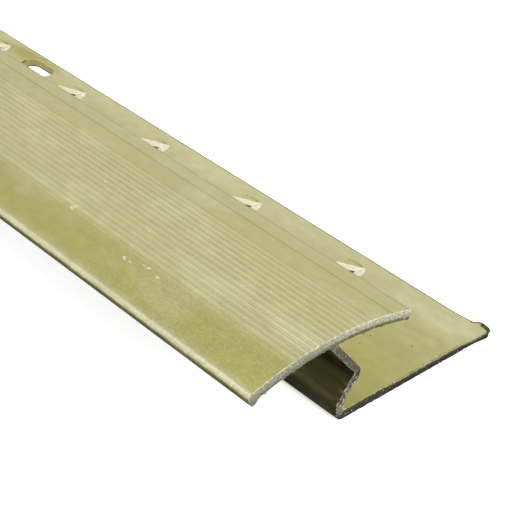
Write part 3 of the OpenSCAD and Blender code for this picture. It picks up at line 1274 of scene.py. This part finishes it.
    def zones(self, look: Look, place: Socket) -> tuple[Socket, Socket, Socket]:
        """Colours the cover's top, the lip, the recess under the cover and the base plate, with painted light
        and shade.

        Args:
            look: the material.
            place: the coordinates.

        Returns:
            The colour, the height above the cover's middle layer, and the coordinate across the bar.
        """
        s = self.section
        _, y, z = look.split(place)
        above = look.above_cover(s, y, z)
        on_top = look.math("GREATER_THAN", above, 0.0)
        colour = look.mix(on_top, self.base.build(look, y), self.cover.build(look, y))
        low, outer = look.math("LESS_THAN", z, s.knee_z), look.math("GREATER_THAN", y, self.tongues_from)
        # Painted shade in the bend of each tongue
        in_tongue = look.times(low, outer, look.ramp(z, *self.tongue_root))
        colour = look.mix(in_tongue, colour, self.tongue.build(look, z))
        # Painted highlight on the rolled lip, with painted shade below it
        at_lip = look.ramp(y, *self.lip_edge, curve="SMOOTHSTEP")
        colour = look.mix(at_lip, colour, self.lip.build(look, z))
        # Painted shade in the recess that faces the floor side: the web, the heel and the cover's underside
        # next to them.
        leaning = look.ramp(look.split(look.normal)[1], *self.recess_lean)
        either = look.math("MAXIMUM", leaning, look.ramp(y, *self.recess_out))
        clear, under = look.math("SUBTRACT", 1.0, at_lip), look.ramp(above, *self.recess_up)
        in_recess = look.times(either, look.ramp(y, *self.recess_in), clear, under)
        streaks = look.noise(place, *self.web_streaks)
        dark = look.scaled(self.recess.build(look, z), look.ramp(streaks, *self.streak_shows))
        return look.mix(in_recess, colour, dark), above, y

    def flutes(self, look: Look, above: Socket, y: Socket) -> Socket:
        """A wave across the flutes: painted highlight on the rib walls that face the light and painted shade
        on the others, partly also the ribs' wear and the dirt between them.

        Args:
            look: the material.
            above: the height above the cover's middle layer.
            y: the coordinate across the bar.

        Returns:
            The wave, from -1 to 1, weaker toward the carpet side and 0 outside the flutes.
        """
        s, half = self.section, self.section.flute_count / 2
        share = look.math("DIVIDE", look.math("SUBTRACT", y, s.arch_c[0] + s.shift), s.cover_r)
        per_turn = (s.cover_r / s.flute_pitch, -s.flute_offset / s.flute_pitch)
        phase = look.math("MULTIPLY_ADD", look.math("ARCSINE", share), *per_turn)
        wave = look.math("COSINE", look.math("MULTIPLY_ADD", phase, math.tau, -math.tau * self.rib_place))
        in_field = look.math("LESS_THAN", look.math("ABSOLUTE", phase), half)
        weaker, faded = look.ramp(phase, *self.rib_weaker), look.ramp(phase, -half, self.rib_faded - half)
        return look.times(in_field, weaker, faded, look.math("GREATER_THAN", above, 0.0), wave)

    def wear(self, look: Look, place: Socket, colour: Socket, ribs: Socket) -> Socket:
        """Adds pale blotches, flecks, dark pits and the scuffs.

        Args:
            look: the material.
            place: the coordinates.
            colour: the colour so far.
            ribs: the wave across the flutes.

        Returns:
            The worn colour.
        """
        blotches = look.ramp(look.noise(place, *self.blotches), *self.blotch_shows)
        colour = look.mix(blotches, colour, self.haze)
        for marks, code in ((self.hazes, self.haze), (self.stains, self.stain), (self.specks, self.speck)):
            for mark in marks:
                colour = look.mix(mark.build(look, place), colour, code)
        x, y, z = look.split(place)
        grain = look.noise(place, *self.flecks)
        sparse = look.ramp(look.noise(place, *self.fleck_groups), *self.group_shows)
        rubbed = look.math("MULTIPLY_ADD", ribs, self.rib_wear, sparse)
        trodden = look.times(look.ramp(x, *self.trodden), look.ramp(y, *self.trodden_side))
        worn = look.times(rubbed, trodden, look.ramp(z, *self.on_cover))
        for scuff in self.scuffs:
            worn = look.math("MAXIMUM", worn, scuff.build(look, place))
        lifted = look.math("MULTIPLY_ADD", worn, self.wear_lift, grain)
        colour = look.mix(look.ramp(lifted, *self.fleck_shows), colour, self.fleck)
        return look.mix(look.ramp(grain, *self.pit_shows), colour, self.pit)

    def material(self) -> bpy.types.Material:
        """Builds the finish.

        Returns:
            The material.
        """
        look = Look("satin_gold_anodised_aluminium")
        place = look.strayed(*self.wobble, self.wobble_reach)
        colour, above, y = self.zones(look, place)
        ribs = self.flutes(look, above, y)
        # Drawing through the die leaves lines along the bar, a fraction of a millimetre apart. The etch and
        # the dye take unevenly, which shows as soft clouds and a fine mottle.
        die, both = look.noise(place, *self.die_lines), look.noise(place, *self.clouds)
        for share, layer in ((self.die_share, die), (self.mottle_share, look.noise(place, *self.mottle))):
            both = look.add("ShaderNodeMix", {0: share, 2: both, 3: layer}, data_type="FLOAT").outputs[0]
        uneven = look.ramp(both, *SWING, *self.tone_swing)
        x, across, _ = look.split(look.place)
        # Painted highlight and shade across the ribs, strongest at the near end and slightly turned against
        # the ribs' own shading far from it
        rubbed = look.ramp(x, *self.rib_shading_along, self.fluting_far, self.fluting)
        ribbed = look.math("MULTIPLY_ADD", ribs, rubbed, uneven)
        fine = look.noise(look.place, *self.speckles)
        grain = look.ramp(fine, *self.speckle_from, -self.speckle, self.speckle)
        where = look.times(look.ramp(x, *self.handled), look.ramp(across, *self.handled_side))
        kept = look.math("MULTIPLY_ADD", grain, where, ribbed)
        rough = look.ramp(die, *SWING, self.roughness - self.rough_swing, self.roughness + self.rough_swing)
        return look.shaded({
            "Base Color": look.scaled(self.wear(look, place, colour, ribs), kept), "Metallic": 1.0,
            "Roughness": rough, "Normal": look.bump(die, *self.relief),
        })


@dataclass(frozen=True)
class ShearedMetal:
    """Bare aluminium where the punch sheared it: bright, with fine lines along the punch's way."""

    bright: str = "#F6F3E4"
    dull: str = "#E6E2CB"
    roughness: float = 0.6
    metallic: float = 0.3
    # The lines are drawn coarser than real ones so that they show.
    lines_per_mm: Point3 = (3.0, 3.0, 0.5)
    line_layers: float = 2.0
    relief: Point2 = (0.3, 0.03)

    def material(self) -> bpy.types.Material:
        """Builds the finish.

        Returns:
            The material.
        """
        look = Look("sheared_bare_aluminium")
        lines = look.streaks(look.place, self.lines_per_mm, self.line_layers)
        return look.shaded({
            "Base Color": look.mix(lines, self.dull, self.bright), "Metallic": self.metallic,
            "Roughness": self.roughness, "Normal": look.bump(lines, *self.relief),
        })


@dataclass(frozen=True)
class SawnMetal:
    """Bare aluminium as a fine saw leaves it: grey and granular, with torn edges and painted shade low down.
    """

    section: BarSection = field(default_factory=BarSection)
    # Through the cover's wall, by the height above its middle layer: painted shade low in it, deepest under
    # it on the carpet side where it is also torn, and a painted highlight along the top arris
    carpet_side: Tones = Tones((
        (-0.9, "#6C693F"), (-0.45, "#78754C"), (-0.28, "#9C9A7A"), (-0.12, "#C2C0A8"), (0.6, "#CECBB4"),
        (0.74, "#EDEAD0"),
    ))
    floor_side: Tones = Tones((
        (-0.9, "#92917E"), (-0.6, "#83826F"), (-0.2, "#9F9D88"), (0.3, "#B0AD96"), (0.6, "#BAB79C"),
        (0.74, "#DCD8B4"),
    ))
    # Across the web's upper and lower legs, from the floor side
    upper: Tones = Tones((
        (0.0, "#9A9985"), (0.16, "#6A6A55"), (0.5, "#626250"), (0.85, "#6A6B52"), (1.0, "#52523A"),
        (1.15, "#77744C"),
    ))
    knee: Tones = Tones((
        (0.0, "#9A998A"), (0.2, "#6B6B58"), (0.45, "#454732"), (0.9, "#3E402A"), (1.15, "#5A5A3A"),
    ))
    lower: Tones = Tones((
        (0.0, "#B0AE9E"), (0.14, "#8A887A"), (0.32, "#5E5C4C"), (0.5, "#45432F"), (0.66, "#6E6C50"),
        (0.82, "#918E68"), (1.0, "#9F9C70"), (1.15, "#918E5C"),
    ))
    # Up the edge of the base plate: at the heel, beside the web, further out, and on the pushed-out corner.
    # All are dark with painted shade, and beside the web and further out the top arris has a painted
    # highlight.
    heel: Tones = Tones((
        (0.0, "#50504A"), (0.4, "#3E3C34"), (0.9, "#5A584C"), (1.2, "#828070"), (1.5, "#908E7C"),
    ))
    plate: Tones = Tones((
        (0.0, "#5C5C5A"), (0.18, "#41413F"), (0.9, "#44443F"), (1.15, "#504E36"), (1.38, "#605D38"),
        (1.46, "#BDB784"), (1.5, "#D2CDA4"), (1.58, "#B2AE7C"), (1.8, "#ABA772"),
    ))
    outer: Tones = Tones((
        (0.0, "#4A4A44"), (0.16, "#2E2E26"), (0.6, "#33322A"), (0.95, "#3A3826"), (1.15, "#54512F"),
        (1.34, "#625F38"), (1.44, "#B9B488"), (1.5, "#C8C498"), (1.6, "#B0AC7A"), (1.8, "#ABA772"),
    ))
    corner: Tones = Tones((
        (0.0, "#2E2E26"), (0.4, "#34342A"), (0.7, "#5C5D4C"), (0.9, "#72735F"), (1.1, "#56573F"),
        (1.35, "#67663F"), (1.5, "#8E8C62"),
    ))
    tip: Tones = Tones(((0.0, "#26251A"), (0.7, "#2E2C1C"), (1.5, "#3A3823")))
    # Away from the web the plate's arris is rolled over further, and the web's lower leg is torn worst.
    arris_drop: float = 0.28
    arris_from: Span = (0.5, 4.5)
    arris_to: Span = (20.0, 16.5)
    leg_torn: float = 0.07
    leg_from: Span = (1.3, 1.9)
    leg_to: Span = (6.8, 6.2)
    in_cover: Span = (-1.1, -0.9)
    to_carpet_side: Span = (-13.0, -5.0)
    grain_swing: Span = (0.6, 1.35)
    fleck_shows: Span = (0.62, 0.68, 0.0, 0.7)
    pit_shows: Span = (0.38, 0.32, 0.0, 0.6)
    torn: str = "#F1EFE2"
    hollow: str = "#2E2E28"
    # Each noise: its size in millimetres, and its finer layers
    grains: Point2 = (0.26, 4.0)
    tears: Point2 = (0.4, 5.0)
    relief: Point2 = (0.5, 0.06)
    wobble: Point2 = (0.6, 5.0)
    wobble_reach: Point3 = (0.0, 1.0, 0.35)
    roughness: float = 0.5
    metallic: float = 0.6

    def across(self, look: Look, y: Socket, z: Socket, slope: float) -> Socket:
        """Distance from the line through the knee that a leg of the web starts from.

        Args:
            look: the material.
            y: the coordinate across the bar.
            z: the height.
            slope: the line's slope, in degrees.

        Returns:
            The distance, toward the carpet side.
        """
        s, t = self.section, math.radians(slope)
        side, up = look.math("SUBTRACT", y, s.knee_y + s.shift), look.math("SUBTRACT", z, s.knee_z)
        return look.math("MULTIPLY_ADD", side, math.sin(t), look.times(up, -math.cos(t)))

    def regions(self, look: Look, y: Socket, z: Socket) -> Socket:
        """Colours the plate, the two legs of the web and the cover's wall.

        Args:
            look: the material.
            y: the coordinate across the bar.
            z: the height.

        Returns:
            The colour.
        """
        s, above = self.section, look.above_cover(self.section, y, z)
        begins, ends = look.ramp(y, *self.arris_from, high=self.arris_drop), look.ramp(y, *self.arris_to)
        rolled = look.math("MULTIPLY_ADD", begins, ends, z)
        low = self.across(look, y, z, s.lower_slope)
        high = self.across(look, y, z, 180 - s.upper_slope)
        web = s.web_t + s.shift
        colour = self.heel.build(look, z)
        # Each row: what changes along which coordinate, from where to where, and what its tones run along
        for value, start, stop, tones, along in (
            (y, web - 0.15, web + 0.2, self.plate, rolled),
            (y, 0.5, 5.0, self.outer, rolled),
            (y, 19.0, 21.0, self.corner, z),
            (y, 22.2, 22.7, self.tip, z),
            (z, s.base_t, s.base_t + 0.2, self.lower, low),
            (z, s.knee_z - 2.2, s.knee_z - 1.2, self.knee, low),
            (z, s.knee_z - 0.1, s.knee_z + 0.5, self.upper, high),
            (above, *self.in_cover, self.floor_side, above),
        ):
            colour = look.mix(look.ramp(value, start, stop), colour, tones.build(look, along))
        share = look.times(look.ramp(above, *self.in_cover), look.ramp(y, *self.to_carpet_side))
        return look.mix(share, colour, self.carpet_side.build(look, above))

    def material(self) -> bpy.types.Material:
        """Builds the finish.

        Returns:
            The material.
        """
        look = Look("sawn_bare_aluminium")
        _, y, z = look.split(look.strayed(*self.wobble, self.wobble_reach))
        # The saw's teeth leave torn grains, lighter and darker, drawn a little coarser than the real ones.
        grain, tears = look.noise(look.place, *self.grains), look.noise(look.place, *self.tears)
        grained = look.scaled(self.regions(look, y, z), look.ramp(grain, *SWING, *self.grain_swing))
        begins, ends = look.ramp(z, *self.leg_from, high=self.leg_torn), look.ramp(z, *self.leg_to)
        leg = look.math("MULTIPLY_ADD", begins, ends, tears)
        lit = look.mix(look.ramp(leg, *self.fleck_shows), grained, self.torn)
        return look.shaded({
            "Base Color": look.mix(look.ramp(tears, *self.pit_shows), lit, self.hollow),
            "Metallic": self.metallic, "Roughness": self.roughness, "Normal": look.bump(grain, *self.relief),
        })


@dataclass(frozen=True)
class PatchyMetal:
    """A small punched or rolled surface whose tone wanders between two colours."""

    name: str
    dark: str
    light: str
    metallic: float
    roughness: float
    specular: float = 0.5
    # The size of its patches in millimetres, and their finer layers
    patch: Point2 = (0.5, 3.0)
    end_painted_shade: str = ""
    faces_along: Span = (0.1, 0.8)

    def material(self) -> bpy.types.Material:
        """Builds the finish.

        Returns:
            The material.
        """
        look = Look(self.name)
        tint = look.mix(look.ramp(look.noise(look.place, *self.patch), *SWING), self.dark, self.light)
        if self.end_painted_shade:
            # Painted shade where the surface faces along the bar.
            tint = look.mix(look.ramp(look.split(look.normal)[0], *self.faces_along), tint, self.end_painted_shade)
        return look.shaded({
            "Base Color": tint, "Metallic": self.metallic, "Roughness": self.roughness,
            "Specular IOR Level": self.specular,
        })


def placed(name: str, data: bpy.types.ID) -> bpy.types.Object:
    """Makes an object of some data and puts it in the scene.

    Args:
        name: the object's name.
        data: its mesh, lamp or camera.

    Returns:
        The object.
    """
    made = bpy.data.objects.new(name, data)
    bpy.context.scene.collection.objects.link(made)
    return made


@dataclass
class DoorBar:
    """The whole bar: stretches with teeth, slots or neither, run out between two sawn ends."""

    section: BarSection = field(default_factory=BarSection)
    bar_length: float = 900.0
    stretch: float = 12.5
    tooth_every: int = 2
    slot_every: int = 18
    slot_first: int = 9
    weld: float = 0.002
    sharp_from: float = 38.0
    # The outer corner of the far end's plate is drawn in, not pushed out.
    rounded: tuple[Point2, ...] = ((0.0, -1.0), (0.15, -0.62), (0.4, -0.32), (0.8, -0.07), (1.2, 0.0))

    def tree(self) -> bpy.types.NodeTree:
        """Builds the Geometry Nodes that run the bar out and dress it.

        Returns:
            The node group.
        """
        tree = bpy.data.node_groups.new("bar_run", "GeometryNodeTree")
        tree.interface.new_socket("Bar", in_out="OUTPUT", socket_type="NodeSocketGeometry")
        for kind, names in (
            ("Int", ("Count", "Tooth Every", "Slot Every", "Slot First")), ("Float", ("Step", "Weld")),
            ("Object", ("Plain", "Tooth", "Slot", "Near End", "Far End")),
            ("Material", tuple(finish.name.title() for finish in Finish)),
        ):
            for name in names:
                tree.interface.new_socket(name, in_out="INPUT", socket_type=f"NodeSocket{kind}")
        nodes = Nodes(tree)
        given = nodes.add("NodeGroupInput").outputs
        back = nodes.times(nodes.math("SUBTRACT", given["Count"], 1.0), given["Step"], -0.5)
        start, step = (nodes.add("ShaderNodeCombineXYZ", {0: x}).outputs[0] for x in (back, given["Step"]))
        line = nodes.add("GeometryNodeMeshLine", {
            "Count": given["Count"], "Start Location": start, "Offset": step,
        })
        number = nodes.math("ADD", nodes.add("GeometryNodeInputIndex").outputs[0], 1.0)
        chosen = []
        for every, first in ((given["Tooth Every"], 0.0), (given["Slot Every"], given["Slot First"])):
            inputs = {0: nodes.math("MODULO", number, every), 1: first, 12: 0.1}
            chosen.append(nodes.add("FunctionNodeCompare", inputs, operation="EQUAL").outputs[0])
        neither = nodes.add("FunctionNodeBooleanMath", dict(enumerate(chosen)), operation="NOR").outputs[0]
        joined = nodes.add("GeometryNodeJoinGeometry")
        for name, selection in (("Plain", neither), ("Tooth", chosen[0]), ("Slot", chosen[1])):
            shape = nodes.add("GeometryNodeObjectInfo", {"Object": given[name]}).outputs["Geometry"]
            copies = nodes.add("GeometryNodeInstanceOnPoints", {
                "Points": line.outputs[0], "Selection": selection, "Instance": shape,
            })
            tree.links.new(copies.outputs[0], joined.inputs[0])
        for name in ("Near End", "Far End"):
            shape = nodes.add("GeometryNodeObjectInfo", {"Object": given[name]}).outputs["Geometry"]
            tree.links.new(shape, joined.inputs[0])
        real = nodes.add("GeometryNodeRealizeInstances", {0: joined.outputs[0]}).outputs[0]
        welding = {"Geometry": real, "Distance": given["Weld"]}
        body = nodes.add("GeometryNodeMergeByDistance", welding).outputs[0]
        mark = nodes.add("GeometryNodeInputNamedAttribute", {"Name": "finish"}, data_type="INT").outputs[0]
        for finish in Finish:
            inputs = {2: mark, 3: int(finish)}
            same = nodes.add("FunctionNodeCompare", inputs, data_type="INT", operation="EQUAL").outputs[0]
            body = nodes.add("GeometryNodeSetMaterial", {
                "Geometry": body, "Selection": same, "Material": given[finish.name.title()],
            }).outputs[0]
        nodes.add("NodeGroupOutput", {0: body})
        return tree

    def shapes(self) -> dict[str, bpy.types.Object]:
        """Makes the stretches and the ends.

        Returns:
            The object for each of the tree's shape inputs, by the input's name.
        """
        meshes = {cut.value.title(): Stretch(self.section, self.stretch).mesh(cut) for cut in Cut}
        meshes["Near End"] = SawnEnd(self.section, self.bar_length).mesh()
        far = SawnEnd(self.section, self.bar_length, side=-1, seed=11.0, corner=self.rounded, bulge=0.0)
        meshes["Far End"] = far.mesh()
        for mesh in meshes.values():
            log.info("template %-14s %6d faces", mesh.name, len(mesh.polygons))
        return {name: bpy.data.objects.new(f"template_{mesh.name}", mesh) for name, mesh in meshes.items()}

    def numbers(self) -> dict[str, float]:
        """Counts and lengths for the tree's inputs."""
        return {
            "Count": round(self.bar_length / self.stretch) - 1, "Step": self.stretch * MM,
            "Tooth Every": self.tooth_every, "Slot Every": self.slot_every, "Slot First": self.slot_first,
            "Weld": self.weld * MM,
        }

    @staticmethod
    def finishes() -> dict[str, bpy.types.Material]:
        """Builds the materials.

        Returns:
            The material for each of the tree's finish inputs, by the input's name.
        """
        looks = {
            "Gold": GoldAnodising(),
            "Sheared": ShearedMetal(),
            "Sawn": SawnMetal(),
            # Painted shade on punched and rolled edges and on walls that lie in shade: dark olive and dull
            "Grimed": PatchyMetal("grimed_gold_anodised_aluminium", "#302E18", "#545130", 0.0, 0.8, 0.2),
            # The edge that the punch rolls over: pale and satin
            "Rolled": PatchyMetal("rolled_bare_aluminium", "#CECAA6", "#F1EEDA", 0.3, 0.5),
            # The slots' walls, gold but matt, so that they look like the plate from any side, with painted
            # shade where they face along the bar
            "Wall": PatchyMetal(
                "punched_gold_anodised_aluminium", "#DAD48A", "#E8E29E", 0.3, 0.7, 0.3, end_painted_shade="#B0AA6C"
            ),
        }
        return {name: look.material() for name, look in looks.items()}

    def build(self) -> bpy.types.Object:
        """Runs the bar out and makes it a plain mesh.

        Returns:
            The finished piece, riding on its body.
        """
        carrier = placed("bar_run", bpy.data.meshes.new("bar_run"))
        tree, shapes = self.tree(), self.shapes()
        values = {**self.numbers(), **self.finishes(), **shapes}
        modifier = carrier.modifiers.new("bar_run", "NODES")
        modifier.node_group = tree
        for item in tree.interface.items_tree:
            if item.in_out == "INPUT":
                modifier[item.identifier] = values[item.name]
        graph = bpy.context.evaluated_depsgraph_get()
        mesh = bpy.data.meshes.new_from_object(carrier.evaluated_get(graph), depsgraph=graph)
        carrier.modifiers.remove(modifier)
        for spent in (carrier, *shapes.values()):
            bpy.data.objects.remove(spent)
        mesh.name = "door_bar_extrusion"
        while None in list(mesh.materials):
            mesh.materials.pop(index=list(mesh.materials).index(None))
        mesh.set_sharp_from_angle(angle=math.radians(self.sharp_from))
        for polygon in mesh.polygons:
            polygon.use_smooth = True
        piece = placed("door_bar_extrusion", mesh)
        piece.modifiers.new("even_flats", "WEIGHTED_NORMAL").keep_sharp = True
        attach(piece, "root")
        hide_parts("door_bar")
        used = [material.name for material in mesh.materials]
        log.info("piece %s: %d faces, materials %s", piece.name, len(mesh.polygons), used)
        return piece


@dataclass(frozen=True)
class Lamp:
    """One soft square lamp: where it hangs and what it faces in metres, its side, and its power in watts."""

    name: str
    place: Point3
    target: Point3
    size: float
    power: float

    def build(self) -> None:
        """Hangs it."""
        data = bpy.data.lights.new(self.name, "AREA")
        data.size, data.energy = self.size, self.power
        aimed(placed(self.name, data), Vector(self.place), Vector(self.target) - Vector(self.place))


def aimed(thing: bpy.types.Object, place: Vector, way: Vector) -> None:
    """Puts a lamp or a camera at a place and turns it one way.

    Args:
        thing: the lamp or camera.
        place: its place, in metres.
        way: the direction it looks in.
    """
    thing.location = place
    thing.rotation_mode = "QUATERNION"
    thing.rotation_quaternion = way.to_track_quat("-Z", "Y")


@dataclass(frozen=True)
class Studio:
    """A plain white floor, soft lamps and the camera at the photograph's place."""

    section: BarSection = field(default_factory=BarSection)
    eye: Point3 = (580.428, -133.854, 152.117)
    look: Point3 = (-0.6282, 0.5364, -0.5636)
    lens: float = 118.47
    sensor: float = 36.0
    clip: Span = (0.01, 50.0)
    floor_size: float = 15.0
    floor_drop: float = 2e-5
    floor_colour: str = "#CACAC8"
    # A wide softbox overhead: even light from above, falling off toward the horizon
    dome: Span = (0.05, 0.5, 0.35, 0.84)
    floor_lift: float = 0.82
    # Under the plate the floor is painted gold and glows faintly yellow, as painted light from the gold
    # underside
    painted_bounce_colour: str = "#B7A55A"
    shade_kept: float = 0.94
    painted_bounce_glow: str = "#FFEE68"
    under_edge: float = 2.0
    under_end: Span = (449.5, 447.5)
    mirrored_from: Span = (28.0, 80.0)
    slot_pitch: float = 225.0
    slot_light: float = 7.0
    lamps: tuple[Lamp, ...] = (
        Lamp("back_panel", (-1.1, 1.5, 0.9), (0.3, 0.0, 0.0), 1.8, 4.5),
        Lamp("front_panel", (-0.6, -1.3, 1.2), (0.4, 0.0, 0.0), 1.0, 3.0),
        Lamp("end_panel", (1.9, 0.1, 0.9), (0.4, 0.0, 0.0), 0.9, 16.0),
    )

    def camera(self) -> None:
        """Sets the camera at the photograph's viewing angle."""
        data = bpy.data.cameras.new("camera")
        data.lens, data.sensor_width, data.sensor_fit = self.lens, self.sensor, "HORIZONTAL"
        data.clip_start, data.clip_end = self.clip
        camera = placed("camera", data)
        aimed(camera, Vector(self.eye) * MM, Vector(self.look))
        bpy.context.scene.camera = camera

    def floor(self) -> None:
        """Lays the floor."""
        mesh, size = bpy.data.meshes.new("floor"), self.floor_size
        corners = [(x * size, y * size, -self.floor_drop) for x, y in ((-1, -1), (1, -1), (1, 1), (-1, 1))]
        mesh.from_pydata(corners, [], [(0, 1, 2, 3)])
        floor = placed("floor", mesh)
        mesh.materials.append(self.floor_finish())

    def floor_finish(self) -> bpy.types.Material:
        """A matt white that is lifted to the background's white for the eye and for metal.

        It isn't lifted under the plate, where no light gets except through the slots. There it is painted
        gold, with a faint yellow glow, as painted light that has been on the gold underside first.

        Returns:
            The material.
        """
        look = Look("matt_white_floor")
        x, y, _ = look.split(look.place)
        half, reach = self.section.base_w / 2, self.slot_pitch / 2
        side = look.math("ABSOLUTE", look.math("SUBTRACT", y, self.section.shift + half))
        along = look.math("ABSOLUTE", x)
        under = look.times(look.ramp(side, half, half - self.under_edge), look.ramp(along, *self.under_end))
        to_slot = look.math("PINGPONG", look.math("ADD", x, reach), reach)
        shut = look.ramp(to_slot, self.slot_light, self.slot_light + self.under_edge, high=self.shade_kept)
        dark = look.times(under, shut)
        colour = look.mix(dark, self.floor_colour, self.painted_bounce_colour)
        matt = look.add("ShaderNodeBsdfDiffuse", {"Color": colour})
        ray = look.add("ShaderNodeLightPath").outputs
        seen = look.times(ray["Is Camera Ray"], look.math("SUBTRACT", 1.0, dark))
        mirrored = look.math("MAXIMUM", ray["Is Glossy Ray"], ray["Is Transmission Ray"])
        beyond = look.ramp(look.math("ABSOLUTE", y), *self.mirrored_from, curve="SMOOTHSTEP")
        lift = look.math("MAXIMUM", seen, look.times(mirrored, beyond))
        tint, strength = look.mix(dark, "#FFFFFF", self.painted_bounce_glow), look.times(lift, self.floor_lift)
        glow = look.add("ShaderNodeEmission", {"Color": tint, "Strength": strength})
        both = look.add("ShaderNodeAddShader", {0: matt.outputs[0], 1: glow.outputs[0]})
        look.add("ShaderNodeOutputMaterial", {0: both.outputs[0]})
        return look.material

    def build(self) -> None:
        """Sets the stage."""
        scene = bpy.context.scene
        scene.view_settings.view_transform = "Standard"
        scene.world = bpy.data.worlds.new("studio")
        scene.world.use_nodes = True
        nodes = Nodes(scene.world.node_tree)
        nodes.tree.nodes.clear()
        up = nodes.split(nodes.add("ShaderNodeTexCoord").outputs["Generated"])[2]
        glow = nodes.ramp(up, *self.dome, curve="SMOOTHSTEP")
        sky = nodes.add("ShaderNodeBackground", {"Color": (1, 1, 1, 1), "Strength": glow})
        nodes.add("ShaderNodeOutputWorld", {0: sky.outputs[0]})
        self.floor()
        for lamp in self.lamps:
            lamp.build()
        self.camera()
        log.info("studio: floor, %d lamps and the camera", len(self.lamps))


def main() -> None:
    logging.basicConfig(level=logging.INFO, format="%(name)s: %(message)s")
    DoorBar().build()
    Studio().build()


if __name__ == "__main__":
    main()
